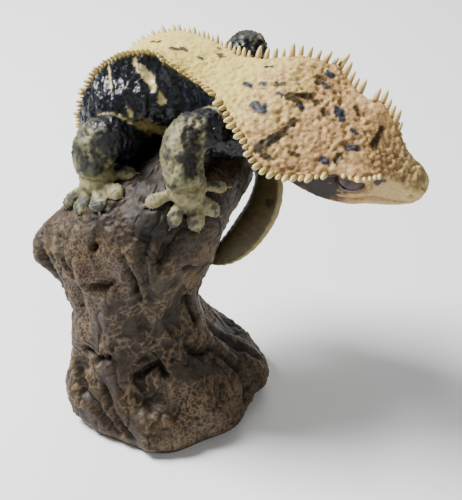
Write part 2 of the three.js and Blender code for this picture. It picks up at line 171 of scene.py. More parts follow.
def faceOutwards(mesh):
    mesh.calc_loop_triangles()
    corners = readAll(mesh.loop_triangles, "vertices", 3, int)
    a, b, c = readPoints(mesh)[corners].transpose(1, 0, 2)
    if (a * np.cross(b, c)).sum() < 0:  # six times the volume that the faces close
        mesh.flip_normals()


def strokeDistance(points, start, end):
    start = np.array(start, float)
    line = np.array(end) - start
    share = np.clip((points - start) @ line / line.dot(line), 0, 1)
    return span(points - start - share[:, None] * line)


def roughness3d(points, size, octaves=3):
    return np.array([noise.fractal(Vector(p) / size, 0.9, 2.1, octaves) for p in points.tolist()])


def drift(points, size, shift):
    shifted = [roughness3d(points + shift + step, size, 2) for step in (0, 40, 80)]
    return np.stack(shifted, axis=-1)


def cells(points, size):
    found = [noise.voronoi(Vector(p) / size)[0] for p in points.tolist()]
    return np.array(found)[:, :2]  # to the nearest cell's middle and to the next one's


# Stump: cast driftwood, twisted vertical furrows with a net of raised, paler lines over it
stump = {
    "height": 62,
    "slope": 0.2,
    "columns": 360,
    "rows": 240,
    "furrow": 0.55,
    "netHeight": 0.24,
    "netWidth": 0.11,  # as a share of a cell
    "netSize": 2.0,  # across one cell of the net
    "gnarl": 0.7,
    "gnarlSize": 6.67,
    "swirlSize": 6.25,
    "curlSize": 1.43,
    "foldHeight": 0.45,
    "foldSize": 3.85,
    "creaseDepth": 0.35,
    "creaseSize": 5.0,
    "patchSize": 5.26,
    "grit": 0.07,
    "gritSize": 0.77,
    "hollowDepth": 1.6,  # times the depths in the two tables of hollows
    "pitRim": 0.35,
}
stumpSections = [
    # height, middle x, middle y, radius
    (0, 0.2, 1, 19.4),
    (3, 0.2, 1, 20.6),
    (8, -0.6, 1, 19.6),
    (14, -2.8, 1.2, 16.8),
    (20, -5.2, 1.4, 14.8),
    (27, -6.6, 1.8, 13.8),
    (34, -5.8, 2.6, 14.8),
    (41, -3.8, 3.6, 16.2),
    (47, -2.6, 4.4, 17),
    (52.5, -1, 5, 16.4),
    (57, 0.6, 5.4, 14),
    (60.2, 1.6, 5.8, 9.4),
    (62, 2.2, 6, 3),
]
stumpLobes = [
    # direction in degrees, height, reach, spread in radians, spread in height
    (184, 43, 7, 0.4, 7.5),
    (22, 5, 3.2, 0.4, 5.5),
    (205, 6, 2, 0.6, 9),
    (318, 30, -1.4, 0.4, 9),
    (262, 22, -1.4, 0.3, 8),
    (0, 54, 3.6, 0.5, 7),
    (285, 46, 1, 0.4, 7),
    (70, 40, 1.5, 0.6, 12),
    (212, 16, -2, 0.16, 2.4),
    (200, 20, 1, 0.3, 3),
    (264, 13, -1.8, 0.16, 3),
    (285, 30, -1.8, 0.13, 5),
    (240, 36, -1.5, 0.14, 7),
    (222, 40, 1.2, 0.16, 4),
    (310, 20, 1, 0.16, 7),
    (110, 25, -2, 0.3, 6),
    (60, 14, 1.6, 0.25, 8),
    (150, 52, -1.4, 0.3, 5),
]
furrows = [
    # half width, depth, then the points of its line
    (0.8, 1.3, (-6.5, -11.8, 47.5), (-5.6, -12.4, 44.6), (-4.6, -12.7, 40.8), (-3.8, -12.4, 36.7)),
    (1.1, 0.9, (-1.3, -11.6, 52.7), (-2.8, -12.9, 48.3), (-2.4, -13.7, 43.8), (-1.3, -12.8, 38)),
    (0.9, 0.7, (2, -11.8, 50.7), (0.2, -13.3, 46.8), (-0.4, -13.6, 42.7)),
    (0.6, 1.3, (5.3, -10.7, 44.4), (7.8, -6.2, 40.6)),
    (0.7, 1.2, (4.8, -4.1, 31.6), (6.2, -2.7, 29.3), (6.8, -2.7, 25.1)),
    (1.1, 1.1, (-25, 2, 43.9), (-23.9, -2.4, 40.3), (-22.1, -2.4, 34.5), (-19.7, -2.9, 26.9)),
    (0.8, 0.8, (-20.9, -1.9, 46.2), (-19.8, -5.4, 43.1), (-17, -7.9, 38.3), (-17.1, -6.2, 31)),
    (0.9, 1.3, (-16.2, -8.6, 20.5), (-13.6, -10.7, 20.1), (-11.6, -11.8, 20.7)),
    (0.8, 1.2, (-4.7, -12.8, 16.2), (-0.9, -12.2, 19.5), (0.9, -13.3, 17.3)),
    (0.9, 1.0, (9.3, 0.3, 21.2), (12.8, 1.8, 15.5), (17.5, 3.2, 10.7), (21, 3.5, 7.6)),
    (0.8, 0.9, (11.3, -3.7, 16.2), (16.1, -3.4, 10.9), (18.2, -5.2, 7.1), (18.2, -7.2, 4.3)),
    (0.7, 1.1, (5.1, -8.1, 22), (8.5, -6, 18.2), (10.4, -3.9, 17.2)),
    (0.9, 0.9, (-18.4, -7.5, 13.2), (-17.2, -11.1, 9.9), (-14.2, -13.9, 7.5), (-9.8, -16.9, 3.8)),
    (0.8, 0.8, (-13.1, -12.6, 13.4), (-11.6, -14.9, 9.7), (-8.8, -17.6, 5.7), (-6.9, -18.6, 3.4)),
    (1.9, 0.8, (-2.8, -15, 11.8), (0.8, -16.3, 11.1), (3.8, -17.1, 9.8)),
    (0.9, 0.8, (-15.2, -8.8, 39), (-12.6, -9.2, 38), (-9.6, -10.5, 40.3)),
    (1.2, 1.2, (-18, 12, 40), (-17, 13, 30), (-15, 14, 20), (-16, 15, 8)),
    (1.1, 1.1, (-7, 19, 44), (-9, 18, 30), (-8, 19, 18), (-9, 21, 5)),
    (1.2, 1.0, (5, 17, 50), (2, 17, 38), (4, 18, 24), (6, 21, 8)),
    (1.0, 1.0, (14, 8, 52), (11, 8, 40), (10, 9, 26), (15, 12, 10)),
    (0.9, 0.9, (9, 15, 40), (8, 15, 28), (11, 17, 14)),
]
pits = [
    # x, y, z, width, height, depth
    (-13.6, -10.8, 19.4, 1.2, 0.9, 1.6),
    (-12.8, -8.6, 48.3, 0.8, 1.0, 1.3),
    (4.8, -4.1, 31.6, 0.8, 0.8, 1.3),
    (-20.9, -1.8, 30.5, 1, 1, 1.1),
    (12, 14, 20, 1.2, 1.7, 1.4),
    (-10, 17, 33, 1.1, 2, 1.3),
    (2, 20, 12, 1.3, 1.1, 1.4),
    (11, 6, 36, 0.9, 1.8, 1.2),
]


def wrapAngle(a):
    return np.arctan2(np.sin(a), np.cos(a))


def stumpSurface(angles, heights):
    angle, height = np.meshgrid(angles, heights)
    table = np.array(stumpSections, float)
    places = np.interp(heights, table[:, 0], np.arange(len(table)))
    x, y, radius = (column[:, None] for column in spline(table[:, 1:], places).T)
    reach = radius + 0 * angle
    for degrees, at, out, wide, tall in stumpLobes:
        reach += out * bell(wrapAngle(angle - math.radians(degrees)), wide) * bell(height - at, tall)
    fade = np.minimum(1, radius / 12)
    furrow = stump["furrow"] * fade
    reach += furrow * np.sin(7 * angle + 0.11 * height + 1.2 * np.sin(height * 0.16))
    reach += 0.7 * furrow * np.sin(4 * angle - 0.2 * height + 2)
    sideways = reach * np.cos(angle)
    lift = stump["slope"] * sideways * (height / stump["height"]) ** 3
    return np.stack([x + sideways, y + reach * np.sin(angle), height + lift], axis=-1)


def buildStump(material):
    heights = stump["height"] * np.linspace(0, 1, stump["rows"])
    points, faces = loft(stumpSurface(fullTurn(stump["columns"]), heights))
    mesh = makeMesh("stump", points, faces)
    faceOutwards(mesh)
    tree = BVHTree.FromPolygons((points * mm).tolist(), faces)
    normals = readAll(mesh.vertex_normals, "vector", 3)
    swirl = drift(points, stump["swirlSize"], 0)
    bulge = roughness3d(points + 150, stump["gnarlSize"], 2)
    curl = drift(points, stump["curlSize"], 300)
    grain = (points + 1.6 * swirl) * [1, 1, 0.28]  # stretched upright, as the wood's own folds are
    fold = roughness3d(grain + 240, stump["foldSize"], 2)
    crease = bell(roughness3d(grain, stump["creaseSize"], 2), 0.05)
    gap = cells((points + 1.3 * swirl + 0.8 * curl) * [1, 1, 0.8], stump["netSize"])
    edge = gap[:, 1] - gap[:, 0]
    patchy = ramp(-0.3, 0.25, roughness3d(points + 90, stump["patchSize"], 2))
    net = bell(edge, stump["netWidth"]) * (0.15 + 0.85 * patchy)
    scoop = ramp(0.5, 0.05, gap[:, 0]) * patchy
    grit = roughness3d(points + 210, stump["gritSize"])
    hollow = np.zeros(len(points))
    push = stump["gnarl"] * bulge + stump["foldHeight"] * fold + stump["grit"] * grit
    push += stump["netHeight"] * (net - 0.5 * scoop) - stump["creaseDepth"] * crease
    wander = points + 0.7 * swirl
    for half, deep, *line in furrows:
        for start, end in zip(line[:-1], line[1:]):
            hollow = np.maximum(hollow, deep * bell(strokeDistance(wander, start, end), half))
    for x, y, z, wide, tall, deep in pits:
        away = span((wander - [x, y, z]) / [wide, wide, tall])
        hollow = np.maximum(hollow, deep * bell(away, 1.1))
        push += stump["pitRim"] * bell(away - 1.9, 0.5)
    push -= stump["hollowDepth"] * hollow
    foot = ramp(0, 2.5, points[:, 2])
    moved = points + normals * (push * foot)[:, None]
    moved[:, 2] = np.maximum(moved[:, 2], 0)
    writePoints(mesh, moved)
    # painted shade: the dark value darkens the furrows, pits and creases and the top where the gecko
    # lies, and dims the raised net there
    shadeUnderGecko = ramp(46, 55, points[:, 2]) * ramp(-0.7, 0.0, swirl[:, 1])
    dark = np.clip(0.7 * hollow + 0.6 * crease + 0.85 * shadeUnderGecko, 0, 1)
    worn = ramp(-0.1, 0.9, push + 0.5 * patchy)
    storeValues(mesh, {"net": np.clip(net * (1 - 0.8 * dark), 0, 1), "dark": dark, "worn": worn})
    return makePiece("stump_wood", mesh, material), tree


# Body line from snout to tail tip, with each section's sizes
head = {
    "snout": np.array([53.9, -4, 58.8]),
    "forward": unit(np.array([0.883, -0.279, -0.377])),
    "up": np.array([0.225, -0.452, 0.862]),
}
head["left"] = unit(np.cross(head["up"], head["forward"]))


def headAt(back, out=0, rise=0):
    return head["snout"] - head["forward"] * back + head["left"] * out + head["up"] * rise


headTable = [
    # back from the snout, out, then crest, crestZ, top, side, sideZ, under
    (0.2, 0, 1.3, 0.5, 0.9, 1.9, -0.7, -1.6),
    (1.2, 0, 2.6, 1.1, 1.7, 3.3, -1.3, -3.1),
    (3.2, 0, 3.2, 2, 2.6, 4.6, -2, -4.4),
    (7, 0, 3.8, 3.2, 3.7, 6.2, -3, -6),
    (11, 0, 6.5, 5.1, 4.8, 7.8, -3.8, -7.2),
    (15, -0.4, 9.7, 6.3, 5.8, 9, -4.3, -7.9),
    (19, -0.7, 10, 4.9, 6.4, 9.6, -4.8, -8.2),
    (24, -0.9, 13.3, 3.7, 6.4, 9.6, -4.8, -8.4),
    (29, -0.8, 15.8, 3.7, 6, 9, -4.4, -8.3),
    (33.5, 0.1, 13, 3.7, 5.6, 8.6, -3.2, -8),
]
bodyTable = [
    # x, y, z, way up, then the same sizes
    (19.6, 8.5, 71.1, 0.08, -0.32, 0.94, 9.2, 4.8, 6, 9, -1.2, -7.4),
    (13.9, 12, 71, 0, -0.14, 1, 6.6, 5.9, 7, 9.8, -1, -8.4),
    (8.3, 15.1, 70.9, 0, -0.04, 1, 7.2, 7.6, 8.4, 10.4, -1.2, -9.4),
    (2.3, 16.6, 70.8, -0.04, 0.12, 1, 8.4, 8.9, 9.4, 10.8, -1.4, -10.2),
    (-3, 15.8, 70, -0.14, 0.44, 0.9, 7.5, 8.4, 9, 10, -1.4, -9.6),
    (-7, 14.8, 67.6, -0.32, 0.7, 0.62, 5.6, 7, 7.6, 8.8, -1, -8.4),
    (-9.8, 15, 64, -0.5, 0.74, 0.44, 4.8, 5.9, 6.5, 7.6, -0.6, -6.9),
    (-11.6, 16.8, 60.2, -0.62, 0.66, 0.4, 3.8, 4.7, 5.3, 5.9, -0.2, -5.4),
    (-12, 20.4, 57, -0.7, 0.56, 0.4, 2.8, 3.4, 4, 4.5, 0, -4.1),
    (-10.4, 24.6, 54.4, -0.55, 0.68, 0.45, 2.4, 3, 3.5, 3.9, 0, -3.5),
    (-5.4, 27.8, 52.6, -0.2, 0.83, 0.5, 2.2, 2.8, 3.3, 3.7, 0, -3.3),
    (1.4, 29, 51.6, 0, 0.85, 0.5, 2.1, 2.7, 3.2, 3.6, 0, -3.2),
    (9, 28.4, 51.4, 0.25, 0.8, 0.5, 2, 2.6, 3.1, 3.5, 0, -3.1),
    (17, 24.8, 51.2, 0.6, 0.65, 0.45, 2, 2.5, 3, 3.4, 0, -3),
    (22.6, 18.4, 49.6, 0.92, 0.3, 0.2, 1.9, 2.4, 3, 3.3, 0, -2.9),
    (22.9, 11.2, 45.2, 0.88, 0, -0.45, 1.9, 2.3, 2.9, 3.7, 0, -4.4),
    (19.4, 7.6, 40, 0.76, 0, -0.65, 1.9, 2.3, 2.8, 3.8, 0, -4.6),
    (15, 6.4, 35.9, 0.62, 0, -0.78, 1.7, 2, 2.5, 3.2, 0, -3.6),
    (10.8, 8, 33.2, 0.5, -0.1, -0.85, 1.2, 1.5, 1.8, 2.1, 0, -1.8),
    (7.2, 12, 32, 0.5, -0.1, -0.85, 0.8, 1, 1.2, 1.4, 0, -1.2),
]
headRows = [(*headAt(back, out), *head["up"], *sizes) for back, out, *sizes in headTable]
bodyAt, bodyUp, bodySizes = np.split(np.array(headRows + bodyTable), [3, 6], axis=1)
lastRow = len(bodyAt) - 1


def bodyFrames(places):
    at = spline(bodyAt, places)
    forward = unit(at - spline(bodyAt, places + 0.01))
    i = np.clip(np.floor(places).astype(int), 0, lastRow - 1)
    share = (places - i)[:, None]
    up = bodyUp[i] * (1 - share) + bodyUp[i + 1] * share
    up = unit(up - forward * (up * forward).sum(1, keepdims=True))
    return at, forward, up, np.cross(up, forward), spline(bodySizes, places)


def bodyPoints(places, across):
    at, _, up, left, sizes = bodyFrames(places)
    crest, crestZ, top, side, sideZ, under = sizes.T
    zero = 0 * crest
    knots = [
        (zero, top),
        (0.55 * crest, top + (crestZ - top) * 0.4),
        (crest, crestZ),
        (crest + (side - crest) * 0.6 - 0.06 * crest, crestZ + (sideZ - crestZ) * 0.45),
        (side, sideZ),
        (0.82 * side, sideZ + (under - sideZ) * 0.55),
        (0.42 * side, sideZ + (under - sideZ) * 0.93),
        (zero, under),
    ]
    outline = np.stack([np.stack(knot, axis=-1) for knot in knots], axis=1)
    outline = np.concatenate([outline[:, 1:2] * [-1, 1], outline, outline[:, 6:7] * [-1, 1]], axis=1)
    reach = np.abs(across)
    i = np.clip(np.floor(reach).astype(int), 0, 6)
    spot = catmull(*(outline[:, i + k] for k in range(4)), (reach - i)[None, :, None])
    out = spot[..., :1] * np.where(across < 0, -1, 1)[None, :, None]
    return at[:, None] + left[:, None] * out + up[:, None] * spot[..., 1:]


def bentTube(rows, steps):
    places = np.linspace(0, len(rows) - 1, (len(rows) - 1) * steps + 1)
    line = spline(rows, places)
    along = unit(np.gradient(line[:, :3], axis=0))
    across = np.cross([0, 0, 1], along[0])
    turns = fullTurn(28)[:, None]
    rings = []
    for spot, way in zip(line, along):
        across = unit(across - way * across.dot(way))
        wheel = np.cos(turns) * across + np.sin(turns) * np.cross(way, across)
        rings.append(spot[:3] + spot[3] * wheel)
    return np.array(rings)


# Legs: path and palm as x, y, z, radius; outward from the wood; toes as degrees from the heading,
# length and half width
legs = {}
legs["front_right"] = {
    "path": [
        (15, 6, 66, 5.4), (11.4, 1.8, 68.6, 4.8), (6.6, -0.8, 69.4, 4.1),
        (5.3, -3.5, 67.2, 4.1), (5.5, -5.6, 64, 3.9), (6, -6.7, 61.8, 3.7),
    ],
    "palm": [6.2, -7, 61.4, 4],
    "outward": [-0.05, -0.72, 0.7],
    "heading": [0, -0.5, -0.86],
    "toes": [(-68, 8.6, 2), (-24, 8, 2.2), (14, 8, 2.3), (52, 7.4, 2.1), (98, 7.4, 1.9)],
}
legs["front_left"] = {
    "path": [
        (14, 14, 67, 5), (17, 19, 73.4, 4.5), (18.2, 23.6, 75.2, 4.3),
        (17.4, 25.6, 69, 3.8), (14.4, 24.6, 60.4, 3.2), (12.4, 22.8, 56, 2.8),
    ],
    "palm": [11.2, 21.4, 54, 3.2],
    "outward": [0.35, 0.85, 0.3],
    "heading": [-0.1, 0.2, -1],
    "toes": [(-75, 6.8, 1.5), (-36, 8, 1.9), (0, 8.6, 2), (36, 8, 1.9), (80, 6.8, 1.6)],
}
legs["back_right"] = {
    "path": [
        (-6, 9, 63, 5), (-9.8, 5, 65.4, 4.8), (-12.4, 3.6, 64.2, 4.5),
        (-13.2, 3.2, 61.4, 4), (-13, 3, 59.2, 3.3),
    ],
    "palm": [-12.7, 2.2, 58, 3.7],
    "outward": [-0.3, -0.5, 0.8],
    "heading": [-0.45, -0.65, -0.5],
    "toes": [(-40, 9.6, 1.8), (-6, 8.2, 2.4), (38, 8, 2.4), (76, 8.4, 2.3), (116, 8.4, 2)],
}
legs["back_left"] = {
    "path": [
        (-7, 18, 63, 4.6), (-6.4, 23.6, 65.4, 4.2), (-4.2, 26.4, 63.6, 3.5),
        (-3.6, 25.6, 60, 3), (-3, 23, 57.8, 2.6),
    ],
    "palm": [-2.8, 21.8, 56.6, 3],
    "outward": [-0.05, 0.88, 0.46],
    "heading": [0.1, 0.3, -0.85],
    "toes": [(-80, 6.6, 1.5), (-38, 6.6, 1.8), (0, 6.4, 1.9), (38, 6.6, 1.8), (84, 6.4, 1.5)],
}
grip = {"castFrom": 7, "castReach": 30, "proud": 0.75, "deepest": -0.4, "slope": 0.7}
toeShape = [
    # share of the length, half width, half thickness
    (0, 0.95, 1.4),
    (0.2, 0.72, 1.3),
    (0.4, 0.54, 1.15),
    (0.58, 0.6, 1.1),
    (0.74, 0.8, 1.1),
    (0.88, 0.82, 0.95),
    (0.98, 0.6, 0.75),
    (1.04, 0.3, 0.4),
]


def turnAbout(axis, v, degrees):
    a = math.radians(degrees)
    return v * math.cos(a) + np.cross(axis, v) * math.sin(a) + axis * axis.dot(v) * (1 - math.cos(a))


def buildToe(wood, palm, outward, heading, length, width):
    across = unit(np.cross(outward, heading))
    centres = []
    drop = 0
    for share, _, thick in toeShape:
        flat = palm + heading * share * length
        start = Vector((flat + outward * grip["castFrom"]) * mm)
        hit = wood.ray_cast(start, Vector(-outward), grip["castReach"] * mm)[0]
        rise = drop - 0.6 * share
        if hit:
            rise = (np.array(hit) / mm - flat).dot(outward) + thick * grip["proud"]
        drop = max(rise, drop - grip["slope"] if share else grip["deepest"])
        centres.append(flat + outward * drop)
    turns = fullTurn(18)[:, None]
    rings = []
    for centre, (_, wide, thick) in zip(centres, toeShape):
        ring = np.cos(turns) * across * wide * width + np.sin(turns) * outward * thick
        rings.append(centre + ring)
    tip = unit(centres[-1] - centres[-4])
    return np.array(rings), centres[-1], unit(tip + heading - 0.2 * outward)


def denser(rings, steps):
    rows = len(rings)
    places = np.linspace(0, rows - 1, (rows - 1) * steps + 1)
    return spline(rings.reshape(rows, -1), places).reshape(len(places), -1, 3)


# Skin: every form of flesh, fused by a voxel remesh and worked over in relief
skin = {
    "ringsPerRow": 11,
    "voxel": 0.37,
    "smoothing": 5,
    "headBump": 0.38,
    "headBumpSize": 1.1,
    "backBump": 0.34,
    "beadSize": 0.62,  # across one small scale
    "wrinkleSize": 1.61,
    "raggedSize": 1.11,
    "broadSize": 4.17,
    "legBump": 0.2,
    "legWrinkle": 0.28,
    "flankFold": 0.42,
    "foldSize": 2.38,
    "headEnd": (10.4, 9.2),  # rows of the body table over which one part gives way to the next
    "tailStart": (17.6, 18.8),
    "crestEdge": (2.25, 2.05),  # place across, as bodyPoints counts it: 0 is the back, 7 the belly
    "mouthLine": 3.72,
    "mouthDepth": 0.42,
    "ear": (7.1, 3.6),  # place along and across
    "nostril": (1.75, 2.9),
    "eyeBack": 15.2,
    "eyeOut": 6.5,
    "eyeRise": 2.0,
    "eyeRadius": 3.7,
    "lidLong": 4.2,  # half length of the eye's opening
    "lidHigh": 2.4,
    "lidMargin": 0.45,
    "lidThick": 0.55,
    "browThick": 0.2,  # more at the top of the rim
    "lidOut": 1.75,
    "earRadius": 0.8,
    "earDepth": 0.7,
    "nostrilRadius": 0.42,
    "nostrilDepth": 0.55,
}
kinds = {"body": 0, "leg": 1, "toe": 2, "palm": 3}  # numbers that tell the forms apart


def eyeCentre(side):
    return headAt(skin["eyeBack"], side * skin["eyeOut"], skin["eyeRise"])


def eyeAxes(side):
    outward = unit(side * head["left"] + 0.12 * head["up"])
    along = unit(head["forward"] - outward * head["forward"].dot(outward))
    rise = np.cross(outward, along)
    return outward, along, rise * np.sign(rise.dot(head["up"]))


def eyeRim(side):
    outward, along, rise = eyeAxes(side)
    around, corners = 48, 12  # steps round the eye, and round the rim's own section
    turns = fullTurn(around) * side
    small = fullTurn(corners)[None, :, None]
    long = np.cos(turns)[:, None] * along * (skin["lidLong"] + skin["lidMargin"])
    wheel = long + np.sin(turns)[:, None] * rise * (skin["lidHigh"] + skin["lidMargin"])
    lid = (skin["lidThick"] + skin["browThick"] * np.maximum(np.sin(turns), 0))[:, None, None]
    ring = eyeCentre(side) + outward * skin["lidOut"] + wheel[:, None]
    ring = ring + unit(wheel)[:, None] * lid * np.cos(small) + outward * lid * np.sin(small)
    grid = np.arange(around * corners).reshape(around, corners).T
    return ring.reshape(-1, 3), quads(np.vstack([grid, grid[:1]]))


def openEyes(points):
    for side in (1, -1):
        outward, along, rise = eyeAxes(side)
        away = points - eyeCentre(side)
        inside = np.hypot(away @ along / skin["lidLong"], away @ rise / skin["lidHigh"])
        reach = span(away)
        within = ramp(1.06, 0.94, inside) * (away @ outward > 0) * (reach < 8)
        target = np.minimum(reach, skin["eyeRadius"] - 0.4)
        points = points - away * (within * (1 - target / np.maximum(reach, 0.1)))[:, None]
    return points


def makeForm(rings, kind, along, across=0):
    points, faces = loft(rings)
    along = np.append(np.repeat(along, rings.shape[1]), [along[0], along[-1]])
    across = np.append(np.broadcast_to(across, rings.shape[:2]), [0, 0])
    return points, faces, np.full(len(points), kinds[kind]), along, across


def gatherForms(wood):
    places = np.linspace(0, lastRow, lastRow * skin["ringsPerRow"] + 1)
    half = np.linspace(0, 7, 50)
    around = np.concatenate([half, -half[1:-1][::-1]])
    rings = bodyPoints(places, around)
    forms = [makeForm(rings, "body", places, around)]
    claws = []
    for side in (1, -1):
        points, faces = eyeRim(side)
        forms.append((points, faces, *np.outer([kinds["body"], 4.9, 3.4 * side], np.ones(len(points)))))
    for leg in legs.values():
        rings = bentTube(leg["path"], 12)
        forms.append(makeForm(rings, "leg", np.linspace(0, 1, len(rings))))
        outward = unit(np.array(leg["outward"]))
        ahead = np.array(leg["heading"])
        ahead = unit(ahead - outward * ahead.dot(outward))
        *palm, size = leg["palm"]
        palm = np.array(palm)
        heel, front = palm - ahead * size, palm + ahead * size * 0.9
        rings = bentTube([(*heel, size * 0.6), (*palm, size), (*front, size * 0.55)], 6)
        lift = ((rings - rings.mean(1, keepdims=True)) * outward).sum(2, keepdims=True)
        forms.append(makeForm(rings - lift * outward * 0.38, "palm", np.full(len(rings), 0.5)))
        for degrees, length, width in leg["toes"]:
            way = turnAbout(outward, ahead, degrees)
            rings, tip, tipWay = buildToe(wood, palm, outward, way, length, width)
            rings = denser(rings, 3)
            away = rings - rings.mean(1, keepdims=True)
            sideways = (away * np.cross(outward, way)).sum(2) / width
            forms.append(makeForm(rings, "toe", np.linspace(0, 1, len(rings)), sideways))
            claws.append((tip, tipWay))
    first = np.cumsum([0] + [len(form[0]) for form in forms]).tolist()
    faces = [[start + i for i in face] for start, form in zip(first, forms) for face in form[1]]
    points, kind, along, across = (np.concatenate([form[k] for form in forms]) for k in (0, 2, 3, 4))
    return points, faces, (kind, along, across), claws


def dropCrumbs(mesh):
    ends = readAll(mesh.edges, "vertices", 2, int)
    island = np.arange(len(mesh.vertices))
    before = None
    while not np.array_equal(island, before):
        before = island.copy()
        lowest = island[ends].min(1)
        np.minimum.at(island, ends[:, 0], lowest)
        np.minimum.at(island, ends[:, 1], lowest)
        island = island[island]
    stray = np.flatnonzero(island != np.bincount(island).argmax())
    work = bmesh.new()
    work.from_mesh(mesh)
    work.verts.ensure_lookup_table()
    bmesh.ops.delete(work, geom=[work.verts[i] for i in stray], context="VERTS")
    work.to_mesh(mesh)
    work.free()


def fuse(points, faces):
    carrier = addObject("forms", makeMesh("forms", points, faces))
    remesh = carrier.modifiers.new("fuse", "REMESH")
    remesh.mode = "VOXEL"
    remesh.voxel_size = skin["voxel"] * mm
    fused = takeMesh(carrier)
    dropCrumbs(fused)
    faceOutwards(fused)
    return fused


def relax(values, ends, rounds):
    count = len(values)
    both = np.concatenate([ends[:, 0], ends[:, 1]])
    other = np.concatenate([ends[:, 1], ends[:, 0]])
    links = np.maximum(np.bincount(both, minlength=count), 1)
    columns = values.reshape(count, -1).astype(float)
    for _ in range(rounds):
        for k in range(columns.shape[1]):
            total = np.bincount(both, columns[other, k], minlength=count)
            columns[:, k] += 0.5 * (total / links - columns[:, k])  # half way to the neighbours' mean
    return columns.reshape(values.shape)


def placeOnForms(points, source, values):
    finder = KDTree(len(source))
    for i, p in enumerate(source.tolist()):
        finder.insert(p, i)
    finder.balance()
    found = np.array([finder.find(p)[1] for p in points.tolist()])
    return [value[found] for value in values]


# Painted marks: x, y, z of each stroke's two ends, and its half width
marks = {}
marks["olive"] = [
    (32.2, 8.6, 77, 32.0, 7.4, 76.6, 0.85),
    (23.7, 5.4, 77, 25.1, 5.9, 77, 0.8),
    (26.4, 2.9, 76.2, 30.6, 3.3, 75.5, 0.75),
    (26.2, 2.6, 76.2, 27.2, 2.2, 76, 1.0),
    (30, 3.4, 75.6, 31, 2.6, 75.3, 1.05),
    (32.8, 0.9, 74.1, 32.8, -0.2, 73.7, 0.75),
    (39.3, 3.7, 73.2, 39.7, 2.6, 72.8, 0.8),
    (35.6, -7.1, 68.4, 34.9, -8, 67.8, 0.8),
    (26.2, -7.6, 69.5, 27.4, -8, 69.2, 0.6),
    (44.2, 0.5, 70.2, 42.2, -3.8, 68.2, 0.72),
    (27, -2, 73.3, 25, -4.1, 72.3, 0.8),
    (25, -4.1, 72.3, 22.6, -6, 71.5, 0.9),
    (3, 15.2, 79.8, 3.7, 14.9, 79.7, 0.8),
    (4.9, 15.8, 79.7, 5.7, 15.2, 79.6, 0.7),
    (8.3, 13.5, 78.9, 9, 13, 78.9, 0.5),
    (12.4, 15.9, 78.6, 12.9, 15.2, 78.5, 0.7),
    (12, 18.5, 78.9, 12.5, 18, 78.8, 0.5),
    (-5.5, 12.9, 80.5, -5, 12.4, 80.3, 0.4),
    (-1, 19.6, 79.4, 0.4, 19, 79.6, 0.6),
    (-7.6, 17.6, 75, -8, 18.4, 74, 0.6),
]
marks["black"] = [
    (22.6, -6, 71.5, 19.7, -7.8, 70.5, 0.95),
    (20.2, -8.2, 70, 21.8, -9, 69.4, 0.7),
    (7, -4.6, 72.8, 6.8, -6.2, 71.2, 1.9),
    (7.3, -8, 67.4, 7.2, -8.4, 66, 1.35),
    (22.9, 8.4, 47.4, 22.3, 8.4, 45.6, 0.95),
]
marks["slate"] = [
    (19.4, 0.9, 75.1, 20.8, 0.2, 74.7, 1.2),
    (17.6, 6.7, 76.7, 18.4, 6.3, 76.7, 0.7),
    (20.7, 6.5, 77, 21.5, 6.1, 77, 0.6),
    (24.1, 3.2, 76.4, 24.6, 2.9, 76.3, 0.6),
    (27.9, 1.2, 75, 28.7, 0.7, 74.8, 0.8),
    (34.3, 14.9, 78.4, 34.8, 14, 78.2, 0.7),
    (34.1, 10.3, 77, 34.9, 10, 76.9, 0.75),
    (33.3, 7.3, 76.2, 34, 6.8, 76.1, 0.75),
    (35.8, 1.8, 73.6, 36.2, 0.1, 72.9, 1.05),
    (37.3, -5.2, 69.3, 38.6, -5.2, 69, 0.85),
    (32.2, -7.9, 68.3, 33.2, -8.2, 67.9, 0.7),
    (38.2, -1.9, 71.3, 39, -2.4, 70.9, 0.6),
    (43.2, -8, 63.9, 43.7, -8.1, 62.2, 0.95),
    (42.3, -8.2, 63.4, 44.6, -7.6, 62.9, 0.6),
    (30, 12, 77.8, 31, 11.6, 77.6, 0.5),
    (22, 12, 77.6, 23, 12, 77.6, 0.6),
]
marks["pale"] = [
    (-4.1, 11.7, 79.1, -1.3, 8.9, 76.3, 0.85),
    (-1.3, 8.9, 76.3, 1.1, 6.6, 72.9, 0.7),
    (-9.8, 13.2, 76.7, -9.3, 10.2, 74.1, 0.4),
    (-5.9, 8.3, 74.6, -5.2, 6.2, 69.9, 0.5),
    (-9.5, 8, 69.8, -9, 7.6, 68.6, 0.7),
    (5.1, 6.2, 74.8, 5.6, 5.6, 73.8, 0.7),
    (4.6, 5.2, 71, 5.4, 4.4, 69.6, 0.5),
    (-4.1, 24, 76, -1, 25.4, 70, 0.8),
    (3, 25.8, 76, 4, 26.6, 69, 0.6),
    (9, 23.6, 76, 8, 24.4, 71, 0.6),
]


def faceSpots(place, across):
    return bodyPoints(np.array([place]), np.array([across, -across]))[0]


def nearest(points, spots):
    return np.minimum(*(span(points - spot) for spot in spots))


def markMask(points, strokes, ragged):
    mask = np.zeros(len(points))
    for *ends, half in strokes:
        away = strokeDistance(points, ends[:3], ends[3:])
        mask = np.maximum(mask, ramp(half + 0.14, half - 0.14, away + half * 0.5 * ragged))
    return mask


